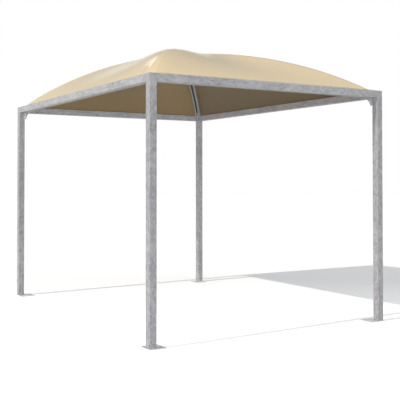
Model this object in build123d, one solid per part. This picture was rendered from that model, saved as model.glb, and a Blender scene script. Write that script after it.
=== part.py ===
"""Open gazebo: a galvanised square-tube frame carrying a membrane roof on four arched hip ribs.

Millimetres, +Z up. The origin is on the ground, at the middle of the plan.
X runs along the short sides and Y along the long sides. Front is -Y and left is -X.
"""
import os
from math import asin, atan2, degrees, hypot, sqrt

from build123d import *

# Frame, outside to outside, and the height of the beams' top
frame_width = 3000.0
frame_depth = 4000.0
frame_height = 2625.0

# Square tube of the posts and beams
tube_side = 80.0
tube_wall = 3.0
tube_corner = 6.0

# Foot plates, flush with the outer corner of each post
plate_side = 190.0
plate_thickness = 10.0
plate_corner = 6.0
anchor_hole = 14.0
anchor_inset = 30.0

# Plates that close the tops of the posts
cap_thickness = 3.0
cap_clearance = 0.3

# Arched hip ribs, a lipped channel with its slot on the underside, and how far inside
# the eave's corner their arc comes down to the beams' top
rib_rise = 573.0
rib_foot_inset = 36.0
rib_width = 60.0
rib_depth = 70.0
rib_wall = 3.0
rib_lip = 16.0
rib_bevel = 4.0
rib_clearance = 0.4

# Crown hub, a tube with one flat face for each rib
hub_reach = 75.0
hub_wall = 6.0
hub_corner = 20.0
hub_height = 85.0
hub_drop = 8.0

# Knee plates that hold the feet of the ribs in the corners
knee_thickness = 10.0
knee_drop = 85.0
knee_toe = 22.0
knee_reach = 150.0
knee_nose = 38.0
knee_hollow = 28.0

# Membrane roof and its hem on the beams
membrane_thickness = 3.0
membrane_clearance = 0.3
eave_inset = 60.0
hem_width = 34.0
panel_start_share = 0.07
crown_patch_radius = 150.0

# Flat bars that clamp the hem to the beams
clamp_width = 30.0
clamp_thickness = 5.0

# Signs of X and Y at each corner
corners = {
    "front_left": (-1, -1),
    "front_right": (1, -1),
    "back_left": (-1, 1),
    "back_right": (1, 1),
}

half_width = frame_width / 2
half_depth = frame_depth / 2
eave_x = half_width - eave_inset
eave_y = half_depth - eave_inset
diagonal = hypot(eave_x, eave_y)
diagonal_x_share = eave_x / diagonal
diagonal_y_share = eave_y / diagonal
crown_height = frame_height + rib_rise
rib_span = diagonal - rib_foot_inset
rib_radius = (rib_span**2 + rib_rise**2) / (2 * rib_rise)
rib_centre_height = crown_height - rib_radius


def arc_height(along, lift=0.0):
    """Height of an arch that lies lift above the ribs' top, at a distance along the diagonal."""
    return rib_centre_height + sqrt((rib_radius + lift) ** 2 - along**2)


def square_tube(length):
    """A square tube that stands on the XY plane, centred on Z."""
    outside = RectangleRounded(tube_side, tube_side, tube_corner)
    bore = tube_side - 2 * tube_wall
    inside = RectangleRounded(bore, bore, tube_corner - tube_wall)
    return extrude(outside - inside, length)


def post_centre(signs):
    """Plan position of a post's axis."""
    return signs[0] * (half_width - tube_side / 2), signs[1] * (half_depth - tube_side / 2)


def make_post(signs):
    """A post from its foot plate up to the beams' top."""
    x, y = post_centre(signs)
    return Pos(x, y, plate_thickness) * square_tube(frame_height - plate_thickness)


def make_foot(signs):
    """A foot plate that reaches inwards from the post, with three anchor holes in its free L."""
    far = plate_side / 2 - anchor_inset
    outline = RectangleRounded(plate_side, plate_side, plate_corner)
    for hole_x, hole_y in ((-far, far), (-far, -far), (far, -far)):
        outline -= Pos(signs[0] * hole_x, signs[1] * hole_y) * Circle(anchor_hole / 2)
    x = signs[0] * (half_width - plate_side / 2)
    y = signs[1] * (half_depth - plate_side / 2)
    return Pos(x, y, 0) * extrude(outline, plate_thickness)


def make_cap(signs):
    """A plate set into the top of a post, flush with its end."""
    side = tube_side - 2 * tube_wall - 2 * cap_clearance
    x, y = post_centre(signs)
    outline = RectangleRounded(side, side, tube_corner - tube_wall)
    return Pos(x, y, frame_height - cap_thickness) * extrude(outline, cap_thickness)


def make_beam(side):
    """A beam between two posts, flush with their outer faces and their tops."""
    level = frame_height - tube_side / 2
    if side in ("front", "back"):
        length = frame_width - 2 * tube_side
        y = (half_depth - tube_side / 2) * (-1 if side == "front" else 1)
        return Pos(-length / 2, y, level) * Rot(0, 90, 0) * square_tube(length)
    length = frame_depth - 2 * tube_side
    x = (half_width - tube_side / 2) * (-1 if side == "left" else 1)
    return Pos(x, length / 2, level) * Rot(90, 0, 0) * square_tube(length)


def corner_turn(signs):
    """Rotation that carries the +X axis onto the diagonal of a corner."""
    return Rot(0, 0, degrees(atan2(signs[1] * eave_y, signs[0] * eave_x)))


def arch(profile, start, finish):
    """A profile seen at the crown, swung along the ribs' arc between two distances from the middle."""
    axis = Axis((0, 0, rib_centre_height), (0, 1, 0))
    turn = degrees(asin(start / rib_radius))
    sweep = degrees(asin(finish / rib_radius)) - turn
    return revolve((Plane.YZ * profile).rotate(axis, turn), axis, sweep)


def rib_profile():
    """Lipped channel seen along the rib at the crown, with its slot below."""
    middle = crown_height - rib_depth / 2
    outside = chamfer(Rectangle(rib_width, rib_depth).vertices(), rib_bevel)
    inside = Rectangle(rib_width - 2 * rib_wall, rib_depth - 2 * rib_wall)
    slot = Pos(0, -rib_depth / 2) * Rectangle(rib_width - 2 * rib_lip, 4 * rib_wall)
    return Pos(0, middle) * (outside - inside - slot)


def mitre_reach(thickness):
    """Distance along a diagonal at which a bar of some thickness meets the beams' inner faces."""
    room_x = half_width - tube_side - rib_clearance - thickness / 2 * diagonal_y_share
    room_y = half_depth - tube_side - rib_clearance - thickness / 2 * diagonal_x_share
    return min(room_x / diagonal_x_share, room_y / diagonal_y_share)


def make_rib(signs):
    """One hip rib, from the crown hub down into its corner, mitred to the beams' inner faces."""
    start = (hub_reach + rib_clearance) * rib_radius / (rib_radius - rib_depth)
    rib = arch(rib_profile(), start, diagonal)
    inner_width = frame_width - 2 * tube_side - 2 * rib_clearance
    inner_depth = frame_depth - 2 * tube_side - 2 * rib_clearance
    room = Pos(0, 0, frame_height - 2 * tube_side) * extrude(
        Rectangle(inner_width, inner_depth), 2 * tube_side + 2 * rib_rise
    )
    return (corner_turn(signs) * rib) & room


def make_hub():
    """Crown hub, a tube closed on top, with a flat face square to each rib."""
    tip_x = hub_reach / diagonal_x_share
    tip_y = hub_reach / diagonal_y_share
    outline = Polygon((tip_x, 0), (0, tip_y), (-tip_x, 0), (0, -tip_y))
    outside = fillet(outline.vertices(), hub_corner)
    inside = offset(outside, -hub_wall)
    body = extrude(outside, hub_height) - extrude(inside, hub_height - hub_wall)
    return Pos(0, 0, crown_height - hub_drop - hub_height) * body


def make_knee(signs):
    """A knee plate on the diagonal, from the post's inner corner up into the rib's slot."""
    rounding_x = half_width - tube_side + tube_corner
    rounding_y = half_depth - tube_side + tube_corner
    to_rounding = rounding_x * diagonal_x_share + rounding_y * diagonal_y_share
    at_post = to_rounding - tube_corner - rib_clearance
    at_beams = mitre_reach(knee_thickness)
    under_beams = frame_height - tube_side - rib_clearance
    bottom = under_beams - knee_drop
    start = at_post - knee_reach
    under_web = -rib_wall - rib_clearance
    middle = (start + at_beams) / 2
    toe = Vector(at_post - knee_toe, bottom)
    nose = Vector(start, arc_height(start, -rib_depth) - knee_nose)
    inwards = (nose - toe).rotate(Axis.Z, -90).normalized()
    with BuildSketch(Plane.XZ) as outline:
        with BuildLine():
            Polyline(
                (at_beams, arc_height(at_beams, under_web)),
                (at_beams, under_beams),
                (at_post, under_beams),
                (at_post, bottom),
                toe,
            )
            ThreePointArc(toe, (toe + nose) / 2 + inwards * knee_hollow, nose)
            Line(nose, (start, arc_height(start, under_web)))
            ThreePointArc(
                (start, arc_height(start, under_web)),
                (middle, arc_height(middle, under_web)),
                (at_beams, arc_height(at_beams, under_web)),
            )
        make_face()
    return corner_turn(signs) * extrude(outline.sketch, knee_thickness / 2, both=True)


def side_frame(side):
    """Sizes of a side's panel as if it were at the back, and the turn that carries it to its side."""
    turn = {"back": 0, "left": 90, "front": 180, "right": 270}[side]
    if side in ("front", "back"):
        return eave_x, eave_y, diagonal_y_share, turn
    return eave_y, eave_x, diagonal_x_share, turn


def ridge_gap(along_share):
    """Distance along the eave from a hip to the edge of the panel beside its ridge strip."""
    return (rib_width / 2 + membrane_clearance) / along_share


def panel_profile(along):
    """Cross-section of a roof panel from the crown to its eave, an arch that ends in a flat hem."""
    radius = (along**2 + rib_rise**2) / (2 * rib_rise)
    centre = crown_height - radius
    below = radius + membrane_clearance
    above = below + membrane_thickness
    hem_below = frame_height + membrane_clearance
    hem_above = hem_below + membrane_thickness
    hem_end = along + hem_width
    start = along * panel_start_share
    middle = along / 2
    below_end = sqrt(below**2 - (hem_below - centre) ** 2)
    above_end = sqrt(above**2 - (hem_above - centre) ** 2)
    with BuildSketch(Plane.YZ) as profile:
        with BuildLine():
            ThreePointArc(
                (start, centre + sqrt(below**2 - start**2)),
                (middle, centre + sqrt(below**2 - middle**2)),
                (below_end, hem_below),
            )
            Polyline(
                (below_end, hem_below),
                (hem_end, hem_below),
                (hem_end, hem_above),
                (above_end, hem_above),
            )
            ThreePointArc(
                (above_end, hem_above),
                (middle, centre + sqrt(above**2 - middle**2)),
                (start, centre + sqrt(above**2 - start**2)),
            )
            Line(
                (start, centre + sqrt(above**2 - start**2)),
                (start, centre + sqrt(below**2 - start**2)),
            )
        make_face()
    return profile.sketch


def make_panel(side):
    """One roof panel, an arched sheet with a hem, trimmed along the two ridge strips beside it."""
    across, along, along_share, turn = side_frame(side)
    sheet = extrude(panel_profile(along), across, both=True)
    gap = ridge_gap(along_share)
    top_half = across * panel_start_share - gap
    eave_half = across - gap
    outline = Polygon(
        (top_half, along * panel_start_share),
        (eave_half, along),
        (eave_half, along + hem_width),
        (-eave_half, along + hem_width),
        (-eave_half, along),
        (-top_half, along * panel_start_share),
        align=None,
    )
    return Rot(0, 0, turn) * (sheet & extrude(outline, 2 * crown_height))


def make_clamp(side):
    """A flat bar that clamps a hem to its beam."""
    across, along, along_share, turn = side_frame(side)
    half = across - ridge_gap(along_share)
    level = frame_height + membrane_thickness + 2 * membrane_clearance
    bar = extrude(Rectangle(2 * half, clamp_width), clamp_thickness)
    return Rot(0, 0, turn) * Pos(0, along + hem_width / 2, level) * bar


def make_ridge(signs):
    """A doubled strip of membrane that lies on a rib, from the crown to the post."""
    middle = crown_height + membrane_clearance + membrane_thickness / 2
    strip = arch(Pos(0, middle) * Rectangle(rib_width, membrane_thickness), hub_reach, rib_span)
    return corner_turn(signs) * strip


def make_crown_patch():
    """A round patch of membrane over the crown."""
    level = crown_height + membrane_thickness + 2 * membrane_clearance
    return Pos(0, 0, level) * extrude(Circle(crown_patch_radius), membrane_thickness)


def build():
    """All pieces by node name."""
    pieces = {}
    for side in ("front", "back", "left", "right"):
        pieces[f"beam_{side}"] = make_beam(side)
        pieces[f"canopy_{side}"] = make_panel(side)
        pieces[f"clamp_bar_{side}"] = make_clamp(side)
    for corner, signs in corners.items():
        pieces[f"post_{corner}"] = make_post(signs)
        pieces[f"foot_plate_{corner}"] = make_foot(signs)
        pieces[f"post_cap_{corner}"] = make_cap(signs)
        pieces[f"rib_{corner}"] = make_rib(signs)
        pieces[f"knee_plate_{corner}"] = make_knee(signs)
        pieces[f"ridge_strip_{corner}"] = make_ridge(signs)
    pieces["crown_hub"] = make_hub()
    pieces["crown_patch"] = make_crown_patch()
    return pieces


os.makedirs("parts", exist_ok=True)
for name, piece in build().items():
    export_step(piece, f"parts/{name}.step")
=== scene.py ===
"""Looks of an open gazebo: galvanised steel frame and a beige coated membrane roof.

Metres, +Z up. Front is -Y and left is -X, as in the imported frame.
"""
from math import cos, hypot, pi, radians, sin

import bmesh
import bpy
import numpy as np
from mathutils import Matrix, Vector


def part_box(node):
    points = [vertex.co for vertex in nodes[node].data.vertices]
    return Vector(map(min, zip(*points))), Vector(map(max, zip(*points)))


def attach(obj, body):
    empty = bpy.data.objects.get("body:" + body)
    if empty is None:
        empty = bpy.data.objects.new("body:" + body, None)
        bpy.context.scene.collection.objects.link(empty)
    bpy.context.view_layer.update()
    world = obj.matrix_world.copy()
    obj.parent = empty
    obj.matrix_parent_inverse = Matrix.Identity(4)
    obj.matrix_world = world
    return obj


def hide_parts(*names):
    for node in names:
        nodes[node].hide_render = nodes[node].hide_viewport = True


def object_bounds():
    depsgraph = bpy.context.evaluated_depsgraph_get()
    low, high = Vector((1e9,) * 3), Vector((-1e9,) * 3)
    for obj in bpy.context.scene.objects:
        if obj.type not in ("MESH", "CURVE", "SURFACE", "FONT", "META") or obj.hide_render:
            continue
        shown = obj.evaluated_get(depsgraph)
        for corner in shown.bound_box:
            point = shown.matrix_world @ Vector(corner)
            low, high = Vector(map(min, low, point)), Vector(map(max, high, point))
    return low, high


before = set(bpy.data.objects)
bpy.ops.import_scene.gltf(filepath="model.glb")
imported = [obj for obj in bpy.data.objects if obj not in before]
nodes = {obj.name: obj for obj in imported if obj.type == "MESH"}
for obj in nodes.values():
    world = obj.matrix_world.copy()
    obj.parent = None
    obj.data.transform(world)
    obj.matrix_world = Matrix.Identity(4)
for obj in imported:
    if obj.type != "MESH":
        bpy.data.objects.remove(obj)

cad_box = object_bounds()

# Camera, solved from the photo's perspective lines
image_side_px = 400
focal_px = 756.6
principal_px = (179.5, 165.6)
camera_place = (-4.808, -8.334, 1.601)
camera_yaw_deg = 60.15
camera_pitch_deg = 1.13
camera_sight = 200.0
sensor_mm = 36.0

# Sun, solved from the tip of the roof's shadow on the ground
sun_azimuth_deg = 4.3
sun_elevation_deg = 32.4
sun_strength = 2.42
sun_angle_deg = 0.6
sun_colour = (1.0, 0.965, 0.91)

# Weak soft fills: azimuth, strength, colour, whether it casts a shadow, whether it lights steel alone
cool_light = (0.96, 0.98, 1.0)
warm_light = (1.0, 0.965, 0.92)
fills = {
    "front_fill": (98.0, 1.1, cool_light, False, False),
    "front_glow": (98.0, 0.7, cool_light, False, True),
    "left_fill": (8.0, 0.9, warm_light, True, False),
    "left_glow": (8.0, 1.5, warm_light, False, True),
    "back_glow": (278.0, 0.8, cool_light, False, True),
    "right_glow": (188.0, 0.8, cool_light, False, True),
}
fill_elevation_deg = 4.0
fill_angle_deg = 25.0

# Sky light: strengths at the horizon and overhead, and the heights (as sines) between which it changes
sky_colour = (0.95, 0.97, 0.99)
sky_strengths = (0.56, 0.612)
sky_span = (0.0, 0.6)

# What the surfaces mirror: a white horizon, a dimmer backdrop above it and a softbox behind the roof
backdrop_strengths = (1.0, 0.54)
backdrop_span = (0.26, 0.35)
softbox_strength = 1.4
softbox_azimuth_deg = 71.0
softbox_elevation_deg = 27.0
softbox_radius_deg = (1.5, 5.5)

# Floor: half its side, the grey that it gives back as light, and the glow of its foreground
floor_half = 60.0
floor_bounce = (0.4, 0.4, 0.4)
glow_centre = (-4.808, -8.334, 0.0)
glow_span = (7.4, 12.5)
glow_strengths = (0.4, 0.0)

# Dark and light grey of the zinc, by member, and how far its crystals are drawn out along a member. The
# foot plates' greys are lighter than the other zinc: painted light on their tops
beam_greys = ((0.207, 0.21, 0.226), (0.438, 0.438, 0.448))
post_greys = ((0.19, 0.193, 0.206), (0.4, 0.4, 0.408))
foot_greys_painted_light = ((0.48, 0.49, 0.515), (0.79, 0.80, 0.825))
weld_greys = ((0.24, 0.25, 0.26), (0.46, 0.47, 0.48))
fastener_greys = ((0.36, 0.37, 0.38), (0.54, 0.54, 0.53))
drawn_x = (1.9, 1, 1)
drawn_y = (1, 1.9, 1)
drawn_z = (1, 1, 1.7)

# Zinc texture: scales as shares of the spangle's or per metre, shares of the tone, and the relief
wobble_scale_share = 0.7
wobble_reach_share = 0.6
small_scale_share = 2.7
drift_scale = 2.3
runs_scale = 45.0
grain_scale = 420.0
small_share = 0.35
runs_share = 0.5
drift_share = 0.35
grain_share = 0.4
zinc_stop_shares = (0.28, 0.5, 0.74)
zinc_relief = 0.0006
zinc_relief_share = 0.25
# Painted shade inside the ribs' slots: how far the occlusion reaches, and how strongly it darkens
rib_painted_shade_depth = 0.05
slot_painted_shade = 2.5

# Membrane cloth: scales of its clouding, flecks and weave per metre, and the weave's relief
cloud_scale = 1.6
fleck_scale = 160.0
fleck_share = 0.25
weave_scale = 260.0
weave_bend = 0.6
tint_stop_shares = (0.35, 0.85)
weave_relief = 0.0002
weave_relief_share = 0.06

# Frame sizes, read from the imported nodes
post_low, post_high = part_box("post_front_left")
hub_low, hub_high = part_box("crown_hub")
tube = post_high.x - post_low.x
half_width = -post_low.x
half_depth = -post_low.y
frame_top = post_high.z
plate_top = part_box("foot_plate_front_left")[1].z
knee_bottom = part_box("knee_plate_front_left")[0].z

# Membrane: its hem on the beams, the arch of its panels, their sag and the softness of its hips
sheet_thickness = 0.003
sheet_clearance = 0.0003
hem_width = 0.034
hem_reach_x = -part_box("canopy_left")[0].x
hem_reach_y = -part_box("canopy_front")[0].y
eave_x = hem_reach_x - hem_width
eave_y = hem_reach_y - hem_width
panel_rise = 0.599
long_side_sag = 0.053
short_side_sag = 0.078
sag_place_power = 1.33
sag_width_power = 1.8
hip_softness = 0.112
eave_softness = 0.008
sheet_step = 0.024

# How the membrane lies on the ribs and falls away beside them, and how the ribs' tops are probed
rib_half = 0.03
rib_gap = 0.0005
rib_fall = 6.0
rib_softness = 0.010
probe_start = 0.12773
probe_step = 0.02
probe_lift = 1.0

# Doubled membrane on the hips and the crown, with its edges sunk a little into the sheet
strip_width = 0.06
strip_thickness = 0.0008
strip_rows = 110
strip_columns = 13
strip_sink_share = 0.03
strip_start_share = 0.6
patch_radius = 0.15
patch_rings = 16
patch_spokes = 64
patch_layers = 2
patch_sink_share = 0.05

# Fasteners, and their (height, radius) profiles as shares of a washer's, a head's and a bolt's sizes
screw_pitch = 0.25
screw_flats = 0.010
bolt_flats = 0.019
bolt_stub = 0.006
knee_bolt_setbacks = (0.055, 0.115)
knee_bolt_drop = 0.036
washer_radius_share = 1.05
washer_height_share = 0.14
washer_profile_shares = ((0.0, 1.0), (0.8, 1.0), (1.0, 0.95))
washer_sides = 24
head_profile_shares = ((0.0, 0.97), (0.04, 1.0), (0.49, 1.0), (0.55, 0.86))
bolt_radius_share = 0.31
bolt_tip_shares = (0.15, 0.8)
bolt_sides = 16

# Welds: a bead's form, and its place in a corner as shares of its radius, the rounding and the hub
weld_radius = 0.0045
weld_ripple = 0.006
weld_rings_per_ripple = 4
weld_sides = 8
weld_swell_share = 0.14
weld_end_share = 0.55
weld_sink_share = 1.16
weld_turn_share = 0.4
knee_weld_share = 0.7
knee_seat_share = 0.3
hub_weld_top_share = 2
hub_weld_rise_share = 0.2
knee_thickness = 0.010
tube_corner = 0.006

sides = ("front", "back", "left", "right")
corners = {
    "front_left": (-1, -1),
    "front_right": (1, -1),
    "back_left": (-1, 1),
    "back_right": (1, 1),
}
diagonal = hypot(eave_x, eave_y)
diagonal_x_share = eave_x / diagonal
diagonal_y_share = eave_y / diagonal


# Shader helpers


def node_tools(tree):
    """Functions that add a shader node with its values, and join two sockets."""
    def add(kind, **values):
        node = tree.nodes.new(kind)
        for key, value in values.items():
            if key in node.inputs:
                node.inputs[key].default_value = value
            else:
                setattr(node, key, value)
        return node

    def join(source, target):
        tree.links.new(source, target)

    return add, join


def new_material(name):
    """A node material with its shader, and the functions to add and join nodes."""
    material = bpy.data.materials.new(name)
    material.use_nodes = True
    add, join = node_tools(material.node_tree)
    return material, material.node_tree.nodes["Principled BSDF"], add, join


def ramp(add, stops):
    """A colour ramp with (place, colour) stops."""
    node = add("ShaderNodeValToRGB")
    elements = node.color_ramp.elements
    while len(elements) < len(stops):
        elements.new(1.0)
    for element, (place, colour) in zip(elements, stops):
        element.position = place
        element.color = (*colour, 1.0)
    return node


def blend(add, join, source, span, ends, kind="LINEAR"):
    """A value that goes from one end to the other while its source crosses a span."""
    node = add("ShaderNodeMapRange", interpolation_type=kind)
    for key, value in zip(("From Min", "From Max", "To Min", "To Max"), (*span, *ends)):
        node.inputs[key].default_value = value
    join(source, node.inputs["Value"])
    return node.outputs["Result"]


def mixed(add, join, share, first, second):
    """A shader that goes from the first to the second by a share."""
    node = add("ShaderNodeMixShader")
    for source, target in zip((share, first, second), node.inputs):
        join(source, target)
    return node.outputs["Shader"]


def ray_kinds(add, join):
    """Whether a ray is a mirrored one, and whether it is a mirrored one or the camera's own."""
    light_path = add("ShaderNodeLightPath")
    seen = add("ShaderNodeMath", operation="MAXIMUM")
    join(light_path.outputs["Is Camera Ray"], seen.inputs[0])
    join(light_path.outputs["Is Glossy Ray"], seen.inputs[1])
    return light_path.outputs["Is Glossy Ray"], seen.outputs["Value"]


# Materials


def galvanised(
    name, greys, spangle_scale, grow=(1, 1, 1), roughness=(0.42, 0.6), metallic=0.25, slot_depth=0.0
):
    """Hot-dip galvanised steel: crystals of zinc in several greys, drifting tone and fine grain.

    grow draws the crystals out along an axis, as the zinc runs along a member. With a slot depth, slots of
    about that depth get painted shade inside: ambient occlusion darkens their colour.
    """
    material, shader, add, join = new_material(name)
    place = add("ShaderNodeTexCoord").outputs["Object"]

    def drawn_out(power):
        node = add("ShaderNodeMapping", Scale=[1 / g**power for g in grow])
        join(place, node.inputs["Vector"])
        return node.outputs["Vector"]

    def weighted(first, second, share):
        node = add("ShaderNodeMix", data_type="FLOAT")
        node.inputs[0].default_value = share
        join(first, node.inputs[2])
        join(second, node.inputs[3])
        return node.outputs[0]

    drawn = drawn_out(1)
    wobble = add("ShaderNodeTexNoise", Scale=spangle_scale * wobble_scale_share, Detail=2.0)
    bend = add("ShaderNodeVectorMath", operation="MULTIPLY_ADD")
    bend.inputs[1].default_value = (wobble_reach_share / spangle_scale,) * 3
    join(drawn, wobble.inputs["Vector"])
    join(wobble.outputs["Color"], bend.inputs[0])
    join(drawn, bend.inputs[2])

    crystals = add("ShaderNodeTexVoronoi", Scale=spangle_scale)
    small = add("ShaderNodeTexVoronoi", Scale=spangle_scale * small_scale_share)
    drift = add("ShaderNodeTexNoise", Scale=drift_scale, Detail=3.0)
    grain = add("ShaderNodeTexNoise", Scale=grain_scale, Detail=3.0)
    runs = add("ShaderNodeTexNoise", Scale=runs_scale, Detail=4.0)
    for texture in (crystals, small):
        join(bend.outputs["Vector"], texture.inputs["Vector"])
    for texture in (drift, grain):
        join(place, texture.inputs["Vector"])
    join(drawn_out(2), runs.inputs["Vector"])

    large_tone = add("ShaderNodeSeparateColor")
    small_tone = add("ShaderNodeSeparateColor")
    join(crystals.outputs["Color"], large_tone.inputs["Color"])
    join(small.outputs["Color"], small_tone.inputs["Color"])
    tone = weighted(large_tone.outputs["Red"], small_tone.outputs["Green"], small_share)
    tone = weighted(tone, runs.outputs["Fac"], runs_share)
    tone = weighted(tone, drift.outputs["Fac"], drift_share)

    dark, light = greys
    middle = tuple((a + b) / 2 for a, b in zip(dark, light))
    tint = ramp(add, list(zip(zinc_stop_shares, (dark, middle, light))))
    join(tone, tint.inputs["Fac"])
    colour = tint.outputs["Color"]
    # Painted shade: ambient occlusion darkens the colour inside slots and hollows
    if slot_depth:
        hollow = add("ShaderNodeAmbientOcclusion", Distance=slot_depth, only_local=True)
        depth = add("ShaderNodeGamma", Gamma=slot_painted_shade)
        darker = add("ShaderNodeMix", data_type="RGBA", blend_type="MULTIPLY")
        darker.inputs[0].default_value = 1.0
        join(hollow.outputs["Color"], depth.inputs["Color"])
        join(colour, darker.inputs[6])
        join(depth.outputs["Color"], darker.inputs[7])
        colour = darker.outputs[2]
    join(colour, shader.inputs["Base Color"])

    gloss = blend(add, join, small_tone.outputs["Blue"], (0.0, 1.0), roughness)
    join(gloss, shader.inputs["Roughness"])
    bump = add("ShaderNodeBump", Strength=zinc_relief_share, Distance=zinc_relief)
    join(weighted(tone, grain.outputs["Fac"], grain_share), bump.inputs["Height"])
    join(bump.outputs["Normal"], shader.inputs["Normal"])
    shader.inputs["Metallic"].default_value = metallic
    return material


def membrane(name, colour, shade, roughness, specular, through, through_share):
    """Coated polyester membrane: a fine weave under a satin skin, with slight clouding.

    A share of the light passes through the cloth, tinted by through.
    """
    material, shader, add, join = new_material(name)
    place = add("ShaderNodeTexCoord")
    cloud = add("ShaderNodeTexNoise", Scale=cloud_scale, Detail=4.0)
    fleck = add("ShaderNodeTexNoise", Scale=fleck_scale, Detail=2.0)
    warp = add("ShaderNodeTexWave", Scale=weave_scale, Distortion=weave_bend, bands_direction="X")
    weft = add("ShaderNodeTexWave", Scale=weave_scale, Distortion=weave_bend, bands_direction="Y")
    for texture in (cloud, fleck, warp, weft):
        join(place.outputs["Object"], texture.inputs["Vector"])

    tone = add("ShaderNodeMath", operation="MULTIPLY_ADD")
    tone.inputs[1].default_value = fleck_share
    join(fleck.outputs["Fac"], tone.inputs[0])
    join(cloud.outputs["Fac"], tone.inputs[2])
    tint = ramp(add, list(zip(tint_stop_shares, (shade, colour))))
    join(tone.outputs["Value"], tint.inputs["Fac"])
    join(tint.outputs["Color"], shader.inputs["Base Color"])

    weave = add("ShaderNodeMath", operation="MULTIPLY")
    join(warp.outputs["Fac"], weave.inputs[0])
    join(weft.outputs["Fac"], weave.inputs[1])
    bump = add("ShaderNodeBump", Strength=weave_relief_share, Distance=weave_relief)
    join(weave.outputs["Value"], bump.inputs["Height"])
    join(bump.outputs["Normal"], shader.inputs["Normal"])
    gloss = blend(add, join, cloud.outputs["Fac"], (0.0, 1.0), roughness)
    join(gloss, shader.inputs["Roughness"])
    shader.inputs["Specular IOR Level"].default_value = specular

    cloth = add("ShaderNodeBsdfTranslucent", Color=(*through, 1.0))
    both = add("ShaderNodeMixShader", Fac=through_share)
    join(shader.outputs["BSDF"], both.inputs[1])
    join(cloth.outputs["BSDF"], both.inputs[2])
    join(both.outputs["Shader"], material.node_tree.nodes["Material Output"].inputs["Surface"])
    return material


post_steel = galvanised("galvanised_post", post_greys, spangle_scale=52.0, grow=drawn_z)
short_beam_steel = galvanised("galvanised_short_beam", beam_greys, spangle_scale=48.0, grow=drawn_x)
long_beam_steel = galvanised("galvanised_long_beam", beam_greys, spangle_scale=48.0, grow=drawn_y)
# Painted light: the foot plates' zinc is lighter, so that their tops read bright
foot_steel = galvanised("galvanised_foot_painted_light", foot_greys_painted_light, spangle_scale=46.0)
plate_steel = galvanised("galvanised_plate", beam_greys, spangle_scale=46.0)
# The ribs' zinc carries painted shade inside their slots
rib_steel = galvanised(
    "galvanised_rib", beam_greys, spangle_scale=40.0, grow=drawn_y, slot_depth=rib_painted_shade_depth
)
weld_steel = galvanised("galvanised_weld", weld_greys, spangle_scale=120.0)
fastener_steel = galvanised(
    "zinc_fastener", fastener_greys, spangle_scale=300.0, roughness=(0.28, 0.4), metallic=0.85
)
top_membrane = membrane(
    "membrane_top",
    colour=(0.855, 0.697, 0.439),
    shade=(0.826, 0.672, 0.421),
    roughness=(0.09, 0.14),
    specular=0.5,
    through=(1.0, 0.88, 0.66),
    through_share=0.2,
)
# Painted shade: the underside gets a near-black colour and a dimmer through colour than the top, so that it
# reads darker; light coming through the cloth gives it its tone
underside_painted_shade = membrane(
    "membrane_underside_painted_shade",
    colour=(0.045, 0.034, 0.019),
    shade=(0.041, 0.031, 0.018),
    roughness=(0.5, 0.6),
    specular=0.3,
    through=(0.86, 0.742, 0.572),
    through_share=0.462,
)

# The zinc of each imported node, by the first start that fits its name
finishes = {
    "post_cap_": plate_steel,
    "post_": post_steel,
    "foot_plate_": foot_steel,
    "beam_front": short_beam_steel,
    "beam_back": short_beam_steel,
    "beam_left": long_beam_steel,
    "beam_right": long_beam_steel,
    "rib_": rib_steel,
    "knee_plate_": plate_steel,
    "crown_hub": plate_steel,
    "clamp_bar_": plate_steel,
}

# What the lights for the steel alone reach
steel = bpy.data.collections.new("steel")


# Mesh helpers


def add_piece(name, build, materials, slot, replaced=()):
    """A piece that rides with the frame, with a mesh made by a function that fills a bmesh."""
    work = bmesh.new()
    build(work)
    bmesh.ops.recalc_face_normals(work, faces=work.faces)
    mesh = bpy.data.meshes.new(name)
    work.to_mesh(mesh)
    work.free()
    piece = bpy.data.objects.new(name, mesh)
    bpy.context.scene.collection.objects.link(piece)
    for material in materials:
        mesh.materials.append(material)
    if slot == "galvanised_steel":
        steel.objects.link(piece)
    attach(piece, "root")
    if replaced:
        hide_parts(*replaced)
    return piece


def diagonal_axes(signs):
    """Unit vectors from the middle towards a corner, along the hip, and level across it."""
    outward = Vector((signs[0] * diagonal_x_share, signs[1] * diagonal_y_share, 0))
    return outward, Vector((-outward.y, outward.x, 0))


def node_height(node, x, y):
    """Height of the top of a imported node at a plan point."""
    above = Vector((x, y, cad_box[1].z + probe_lift))
    hit, place, _, _ = nodes[node].ray_cast(above, Vector((0, 0, -1)))
    return place.z if hit else frame_top


def smooth_min(a, b, width):
    """The lower of two heights, rounded where they are closer than width."""
    near = np.maximum(width - np.abs(a - b), 0.0) / width
    return np.minimum(a, b) - near * near * width / 4


def arch(across, half):
    """Height of a panel's arch above the beams, at a distance from the middle."""
    radius = (half**2 + panel_rise**2) / (2 * panel_rise)
    return panel_rise - radius + np.sqrt(np.maximum(radius**2 - across**2, 0.0))


# Heights of a rib's top above the beams, at distances along its diagonal
rib_reaches = np.arange(probe_start, diagonal, probe_step)
rib_tops = np.array([
    node_height("rib_back_right", reach * diagonal_x_share, reach * diagonal_y_share) - frame_top
    for reach in rib_reaches
])


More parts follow.
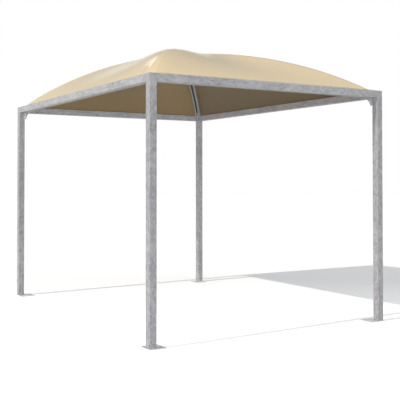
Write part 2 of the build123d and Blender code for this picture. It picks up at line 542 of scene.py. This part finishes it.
def roof_height(x, y):
    """Height of the membrane above the beams: two crossing arches with sag and soft hips, over the ribs."""
    across, along = np.minimum(np.abs(x), eave_x), np.minimum(np.abs(y), eave_y)
    share_x, share_y = across / eave_x, along / eave_y
    tiny = 1e-6
    from_hip_x = np.clip(share_y / np.maximum(share_x, tiny), 0.0, 1.0)
    from_hip_y = np.clip(share_x / np.maximum(share_y, tiny), 0.0, 1.0)
    long_dip = np.sin(pi * share_x**sag_place_power) * (1 - from_hip_x**2) ** sag_width_power
    short_dip = np.sin(pi * share_y**sag_place_power) * (1 - from_hip_y**2) ** sag_width_power
    long_panel = arch(across, eave_x) - long_side_sag * long_dip
    short_panel = arch(along, eave_y) - short_side_sag * short_dip
    roof = smooth_min(long_panel, short_panel, hip_softness)
    reach = across * diagonal_x_share + along * diagonal_y_share
    aside = np.abs(across * diagonal_y_share - along * diagonal_x_share)
    on_rib = np.interp(reach, rib_reaches, rib_tops) + rib_gap
    on_rib = on_rib - rib_fall * np.maximum(aside - rib_half, 0.0) ** 2
    on_rib = np.minimum(on_rib, np.minimum(eave_x - across, eave_y - along))
    roof = -smooth_min(-roof, -on_rib, rib_softness)
    return -smooth_min(-roof, np.zeros_like(roof), eave_softness)


def sheet_level(x, y, lift):
    """Height of a point that lies some way above the membrane's underside."""
    return frame_top + sheet_clearance + float(roof_height(np.array(x), np.array(y))) + lift


def layered_grid(work, xs_ys, rows, columns, lift_low, lifts_high, under_slot=0):
    """A closed sheet over a grid of plan points, whose underside takes the material of a slot."""
    plan = np.array(xs_ys)
    ground = frame_top + sheet_clearance + roof_height(plan[:, 0], plan[:, 1])
    low = [work.verts.new((x, y, z + lift_low)) for (x, y), z in zip(plan, ground)]
    high = [work.verts.new((x, y, z)) for (x, y), z in zip(plan, ground + lifts_high)]

    def quad(layer, i, j):
        k = i * columns + j
        return [layer[k], layer[k + 1], layer[k + columns + 1], layer[k + columns]]

    for i in range(rows - 1):
        for j in range(columns - 1):
            work.faces.new(quad(high, i, j)).smooth = True
            under = work.faces.new(reversed(quad(low, i, j)))
            under.smooth = True
            under.material_index = under_slot
    rim = list(range(columns))
    rim += [i * columns + columns - 1 for i in range(1, rows)]
    rim += [(rows - 1) * columns + j for j in range(columns - 2, -1, -1)]
    rim += [i * columns for i in range(rows - 2, 0, -1)]
    for a, b in zip(rim, rim[1:] + rim[:1]):
        work.faces.new((low[a], low[b], high[b], high[a]))


# Membrane roof


def plan_lines(eave, reach):
    """Grid lines across the roof, closer at the eaves, and the hem's edge on each side."""
    count = round(2 * eave / sheet_step) + 1
    even = np.linspace(-eave, eave, count)
    close = [eave - sheet_step / 3, eave - sheet_step * 2 / 3, reach]
    return sorted([*even, *close, *(-c for c in close)])


def make_membrane():
    """The roof as one continuous sheet with a flat hem on the beams."""
    xs = plan_lines(eave_x, hem_reach_x)
    ys = plan_lines(eave_y, hem_reach_y)
    grid = [(x, y) for x in xs for y in ys]

    def build(work):
        layered_grid(work, grid, len(xs), len(ys), 0.0, sheet_thickness, under_slot=1)

    replaced = [f"canopy_{side}" for side in sides]
    return add_piece("membrane_roof", build, [top_membrane, underside_painted_shade], "membrane", replaced)


def make_hip_strip(corner, signs):
    """A doubled strip welded on the membrane over one hip, from the crown patch to the post."""
    start = patch_radius * strip_start_share
    grid, lifts = [], []
    for i in range(strip_rows):
        reach = start + (diagonal - start) * i / (strip_rows - 1)
        for j in range(strip_columns):
            across = 2 * j / (strip_columns - 1) - 1
            offset = strip_width / 2 * across
            swell = (1 + strip_sink_share) * (1 - across**2) ** 2 - strip_sink_share
            lifts.append(sheet_thickness + strip_thickness * swell)
            x = reach * diagonal_x_share + offset * diagonal_y_share
            y = reach * diagonal_y_share - offset * diagonal_x_share
            grid.append((signs[0] * x, signs[1] * y))

    def build(work):
        layered_grid(work, grid, strip_rows, strip_columns, sheet_thickness / 2, np.array(lifts))

    return add_piece(f"hip_strip_{corner}", build, [top_membrane], "membrane", [f"ridge_strip_{corner}"])


def make_crown_patch():
    """A round doubled patch welded on the membrane over the crown."""
    base = sheet_thickness / 2
    top = sheet_thickness + strip_thickness * patch_layers
    edge_fall = strip_thickness * (patch_layers + patch_sink_share)

    def build(work):
        low, high = [], []
        for i in range(1, patch_rings + 1):
            share = i / patch_rings
            radius = patch_radius * share
            for k in range(patch_spokes):
                angle = 2 * pi * k / patch_spokes
                x, y = radius * cos(angle), radius * sin(angle)
                low.append(work.verts.new((x, y, sheet_level(x, y, base))))
                high.append(work.verts.new((x, y, sheet_level(x, y, top - edge_fall * share**2))))
        for layer, lift in ((low, base), (high, top)):
            centre = work.verts.new((0.0, 0.0, sheet_level(0.0, 0.0, lift)))
            for k in range(patch_spokes):
                nxt = (k + 1) % patch_spokes
                work.faces.new((centre, layer[k], layer[nxt])).smooth = True
                for i in range(patch_rings - 1):
                    a, b = i * patch_spokes, (i + 1) * patch_spokes
                    ring_face = (layer[a + k], layer[b + k], layer[b + nxt], layer[a + nxt])
                    work.faces.new(ring_face).smooth = True
        outer = (patch_rings - 1) * patch_spokes
        for k in range(patch_spokes):
            a, b = outer + k, outer + (k + 1) % patch_spokes
            work.faces.new((low[a], low[b], high[b], high[a]))

    return add_piece("crown_cover", build, [top_membrane], "membrane", ["crown_patch"])


# Fasteners


def add_ring_stack(work, place, levels, sides_count, turn=0.0):
    """A closed turned shape from (height, radius) levels along the local Z axis of a placement."""
    rings = []
    for height, radius in levels:
        ring = []
        for k in range(sides_count):
            angle = turn + 2 * pi * k / sides_count
            ring.append(work.verts.new(place @ Vector((radius * cos(angle), radius * sin(angle), height))))
        rings.append(ring)
    for lower, upper in zip(rings, rings[1:]):
        for k in range(sides_count):
            nxt = (k + 1) % sides_count
            work.faces.new((lower[k], lower[nxt], upper[nxt], upper[k]))
    work.faces.new(list(reversed(rings[0])))
    work.faces.new(rings[-1])


def add_hex_head(work, place, flats, stub=0.0):
    """A washer and a hexagon head or nut with a chamfered crown, and a stub of bolt if it is a nut."""
    washer = flats * washer_radius_share
    thick = flats * washer_height_share
    washer_levels = [(thick * high, washer * wide) for high, wide in washer_profile_shares]
    add_ring_stack(work, place, washer_levels, washer_sides)
    corner = flats / 2 / cos(pi / 6)
    head_levels = [(thick + flats * high, corner * wide) for high, wide in head_profile_shares]
    add_ring_stack(work, place, head_levels, 6, pi / 6)
    if stub:
        top = head_levels[-1][0]
        bolt = flats * bolt_radius_share
        tip_height, tip_radius = (bolt * share for share in bolt_tip_shares)
        bolt_levels = [(top, bolt), (top + stub, bolt), (top + stub + tip_height, tip_radius)]
        add_ring_stack(work, place, bolt_levels, bolt_sides)


def facing(point, direction):
    """Placement at a point with its local Z along a direction."""
    return Matrix.Translation(point) @ Vector(direction).to_track_quat("Z", "Y").to_matrix().to_4x4()


def make_clamp_screws(side):
    """Hexagon screws with washers along one clamp bar."""
    low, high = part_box(f"clamp_bar_{side}")
    span = high - low
    lengthways = Vector((1, 0, 0)) if span.x > span.y else Vector((0, 1, 0))
    length = max(span.x, span.y)
    count = round(length / screw_pitch)
    middle = Vector(((low.x + high.x) / 2, (low.y + high.y) / 2, high.z))

    def build(work):
        for i in range(count):
            point = middle + lengthways * length * ((i + 0.5) / count - 0.5)
            add_hex_head(work, facing(point, (0, 0, 1)), screw_flats)

    return add_piece(f"clamp_screws_{side}", build, [fastener_steel], "galvanised_steel")


def make_knee_bolts(corner, signs):
    """Two bolts through the foot of a rib and the knee plate inside it."""
    outward, sideways = diagonal_axes(signs)
    post_reach = hypot(half_width - tube, half_depth - tube)

    def build(work):
        for setback in knee_bolt_setbacks:
            point = outward * (post_reach - setback)
            point.z = node_height(f"rib_{corner}", point.x, point.y) - knee_bolt_drop
            for turn, stub in ((1, 0.0), (-1, bolt_stub)):
                seat = facing(point + sideways * rib_half * turn, sideways * turn)
                add_hex_head(work, seat, bolt_flats, stub)

    return add_piece(f"knee_bolts_{corner}", build, [fastener_steel], "galvanised_steel")


# Welds


def add_bead(work, path, radius=weld_radius):
    """A rippled weld bead along a path of points."""
    points = [Vector(p) for p in path]
    lengths = [(b - a).length for a, b in zip(points, points[1:])]
    total = sum(lengths)
    count = max(weld_rings_per_ripple, round(total / weld_ripple * weld_rings_per_ripple))
    rings = []
    for i in range(count + 1):
        travel = total * i / count
        rest, k = travel, 0
        while k < len(lengths) - 1 and rest > lengths[k]:
            rest -= lengths[k]
            k += 1
        direction = (points[k + 1] - points[k]).normalized()
        centre = points[k] + direction * min(rest, lengths[k])
        swell = 1.0 + weld_swell_share * sin(2 * pi * travel / weld_ripple)
        taper = weld_end_share if i in (0, count) else 1.0
        frame_turn = direction.to_track_quat("Z", "Y").to_matrix()
        ring = []
        for s in range(weld_sides):
            angle = 2 * pi * s / weld_sides
            spoke = frame_turn @ Vector((cos(angle), sin(angle), 0))
            ring.append(work.verts.new(centre + spoke * radius * swell * taper))
        rings.append(ring)
    for a, b in zip(rings, rings[1:]):
        for s in range(weld_sides):
            n = (s + 1) % weld_sides
            work.faces.new((a[s], a[n], b[n], b[s])).smooth = True
    work.faces.new(list(reversed(rings[0])))
    work.faces.new(rings[-1])


def make_base_weld(corner, signs):
    """The fillet weld between a post and its foot plate, along the two sides that stand on the plate."""
    outer_x, outer_y = signs[0] * half_width, signs[1] * half_depth
    inner_x, inner_y = signs[0] * (half_width - tube), signs[1] * (half_depth - tube)
    round_x, round_y = signs[0] * tube_corner, signs[1] * tube_corner
    path = [
        (outer_x - round_x, inner_y, plate_top),
        (inner_x + round_x, inner_y, plate_top),
        (inner_x + round_x * weld_turn_share, inner_y + round_y * weld_turn_share, plate_top),
        (inner_x, inner_y + round_y, plate_top),
        (inner_x, outer_y - round_y, plate_top),
    ]

    def build(work):
        add_bead(work, path)

    return add_piece(f"base_weld_{corner}", build, [weld_steel], "galvanised_steel")


def make_corner_weld(corner, signs):
    """Welds round the ends of two beams on a post, and down both faces of the knee plate."""
    top, bottom = frame_top, frame_top - tube
    outer = Vector((signs[0] * half_width, signs[1] * half_depth))
    inner = Vector((signs[0] * (half_width - tube), signs[1] * (half_depth - tube)))
    sink = weld_radius * weld_sink_share
    outward, sideways = diagonal_axes(signs)
    foot = Vector((inner.x, inner.y, 0)) + outward * tube_corner * knee_seat_share

    def build(work):
        groove_y = outer.y - signs[1] * sink
        groove_x = outer.x - signs[0] * sink
        add_bead(work, [
            (inner.x, groove_y, top - sink),
            (inner.x, groove_y, bottom + sink),
            (inner.x, inner.y + signs[1] * sink, bottom),
        ])
        add_bead(work, [
            (groove_x, inner.y, top - sink),
            (groove_x, inner.y, bottom + sink),
            (inner.x + signs[0] * sink, inner.y, bottom),
        ])
        for turn in (-1, 1):
            start = foot + sideways * turn * knee_thickness / 2
            path = [(start.x, start.y, bottom - sink), (start.x, start.y, knee_bottom + sink)]
            add_bead(work, path, weld_radius * knee_weld_share)

    return add_piece(f"corner_weld_{corner}", build, [weld_steel], "galvanised_steel")


def hub_face_reach():
    """Distance of the hub's flat faces from the middle, along a diagonal."""
    return max(
        v.co.x * diagonal_x_share + v.co.y * diagonal_y_share for v in nodes["crown_hub"].data.vertices
    )


def make_hub_weld():
    """Welds down both sides of each rib's end on the crown hub."""
    reach = hub_face_reach()
    high = hub_high.z - weld_radius * hub_weld_top_share
    low = hub_low.z + (hub_high.z - hub_low.z) * hub_weld_rise_share

    def build(work):
        for signs in corners.values():
            outward, sideways = diagonal_axes(signs)
            for turn in (-1, 1):
                start = outward * reach + sideways * turn * rib_half
                add_bead(work, [(start.x, start.y, high), (start.x, start.y, low)])

    return add_piece("hub_weld", build, [weld_steel], "galvanised_steel")


# Stage


def heading(azimuth_deg, elevation_deg):
    """Unit vector towards an azimuth and an elevation."""
    azimuth, elevation = radians(azimuth_deg), radians(elevation_deg)
    return Vector((cos(azimuth) * cos(elevation), sin(azimuth) * cos(elevation), sin(elevation)))


def make_floor():
    """A pale floor that reads white to the camera where the sun reaches it, and keeps the shadow.

    It gives the part less light than it shows. Its foreground glows a little, so that the shadows fade
    towards the front.
    """
    mesh = bpy.data.meshes.new("floor")
    ends = ((-1, -1), (1, -1), (1, 1), (-1, 1))
    mesh.from_pydata([(x * floor_half, y * floor_half, 0) for x, y in ends], [], [(0, 1, 2, 3)])
    floor = bpy.data.objects.new("floor", mesh)
    bpy.context.scene.collection.objects.link(floor)
    material = bpy.data.materials.new("floor")
    material.use_nodes = True
    material.node_tree.nodes.clear()
    add, join = node_tools(material.node_tree)
    _, seen = ray_kinds(add, join)

    dull = add("ShaderNodeBsdfDiffuse", Color=(*floor_bounce, 1))
    pale = add("ShaderNodeBsdfDiffuse", Color=(1, 1, 1, 1))
    glow = add("ShaderNodeEmission")
    place = add("ShaderNodeTexCoord")
    away = add("ShaderNodeVectorMath", operation="DISTANCE")
    away.inputs[1].default_value = glow_centre
    join(place.outputs["Object"], away.inputs[0])
    fade = blend(add, join, away.outputs["Value"], glow_span, glow_strengths)
    join(fade, glow.inputs["Strength"])
    glowing = add("ShaderNodeAddShader")
    join(pale.outputs["BSDF"], glowing.inputs[0])
    join(glow.outputs["Emission"], glowing.inputs[1])

    surface = mixed(add, join, seen, dull.outputs["BSDF"], glowing.outputs["Shader"])
    join(surface, add("ShaderNodeOutputMaterial").inputs["Surface"])
    mesh.materials.append(material)


def make_world():
    """A white background, and a cooler sky as light.

    The surfaces mirror a white horizon, a dimmer backdrop above it and a softbox behind the roof.
    """
    world = bpy.data.worlds.new("studio")
    bpy.context.scene.world = world
    world.use_nodes = True
    world.node_tree.nodes.clear()
    add, join = node_tools(world.node_tree)
    mirrored, seen = ray_kinds(add, join)
    direction = add("ShaderNodeTexCoord").outputs["Generated"]
    parts = add("ShaderNodeSeparateXYZ")
    join(direction, parts.inputs["Vector"])
    height = parts.outputs["Z"]

    sky = add("ShaderNodeBackground", Color=(*sky_colour, 1))
    join(blend(add, join, height, sky_span, sky_strengths, "SMOOTHSTEP"), sky.inputs["Strength"])

    aim = add("ShaderNodeVectorMath", operation="DOT_PRODUCT")
    aim.inputs[1].default_value = heading(softbox_azimuth_deg, softbox_elevation_deg)
    join(direction, aim.inputs[0])
    inner, outer = (cos(radians(angle)) for angle in softbox_radius_deg)
    box_ends = (0.0, softbox_strength)
    softbox = blend(add, join, aim.outputs["Value"], (outer, inner), box_ends, "SMOOTHSTEP")
    level = blend(add, join, height, backdrop_span, backdrop_strengths, "SMOOTHSTEP")
    brightness = add("ShaderNodeMath", operation="ADD")
    join(level, brightness.inputs[0])
    join(softbox, brightness.inputs[1])
    backdrop = add("ShaderNodeBackground")
    join(brightness.outputs["Value"], backdrop.inputs["Strength"])

    white = add("ShaderNodeBackground", Color=(1, 1, 1, 1), Strength=1.0)
    sight = mixed(add, join, mirrored, white.outputs["Background"], backdrop.outputs["Background"])
    surface = mixed(add, join, seen, sky.outputs["Background"], sight)
    join(surface, add("ShaderNodeOutputWorld").inputs["Surface"])


def make_distant_light(name, azimuth_deg, elevation_deg, strength, angle_deg, colour, shadow, lit=None):
    """Parallel light that travels towards an azimuth and comes from an elevation.

    It isn't mirrored, and with a collection to light it reaches nothing else.
    """
    light = bpy.data.lights.new(name, "SUN")
    light.use_shadow = shadow
    light.energy = strength
    light.angle = radians(angle_deg)
    light.color = colour
    lamp = bpy.data.objects.new(name, light)
    lamp.visible_glossy = False
    if lit:
        lamp.light_linking.receiver_collection = lit
    bpy.context.scene.collection.objects.link(lamp)
    lamp.rotation_euler = heading(azimuth_deg, -elevation_deg).to_track_quat("-Z", "Y").to_euler()


def make_camera():
    """The photo's viewpoint, focal length and framing."""
    camera = bpy.data.cameras.new("camera")
    camera.sensor_fit = "HORIZONTAL"
    camera.sensor_width = sensor_mm
    camera.lens = focal_px / image_side_px * sensor_mm
    camera.shift_x = (image_side_px / 2 - principal_px[0]) / image_side_px
    camera.shift_y = (principal_px[1] - image_side_px / 2) / image_side_px
    camera.clip_end = camera_sight
    eye = bpy.data.objects.new("camera", camera)
    bpy.context.scene.collection.objects.link(eye)
    eye.location = camera_place
    eye.rotation_euler = heading(camera_yaw_deg, camera_pitch_deg).to_track_quat("-Z", "Y").to_euler()
    bpy.context.scene.camera = eye


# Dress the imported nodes, apart from the membrane's, which the pieces below replace
for node_name, node in nodes.items():
    finish = next((zinc for start, zinc in finishes.items() if node_name.startswith(start)), None)
    if finish is None:
        continue
    if not node.material_slots:
        node.data.materials.append(finish)
    for place in node.material_slots:
        place.material = finish
    steel.objects.link(node)

# Add the pieces
roof = make_membrane()
on_roof = [make_hip_strip(corner, signs) for corner, signs in corners.items()]
on_roof.append(make_crown_patch())
for side in sides:
    make_clamp_screws(side)
for corner, signs in corners.items():
    make_base_weld(corner, signs)
    make_corner_weld(corner, signs)
    make_knee_bolts(corner, signs)
make_hub_weld()

# Set the stage
make_floor()
make_world()
make_distant_light(
    "sun", sun_azimuth_deg, sun_elevation_deg, sun_strength, sun_angle_deg, sun_colour, shadow=True
)
for name, (azimuth_deg, strength, colour, shadow, steel_alone) in fills.items():
    lit = steel if steel_alone else None
    make_distant_light(name, azimuth_deg, fill_elevation_deg, strength, fill_angle_deg, colour, shadow, lit)
make_camera()
bpy.context.scene.view_settings.view_transform = "Standard"
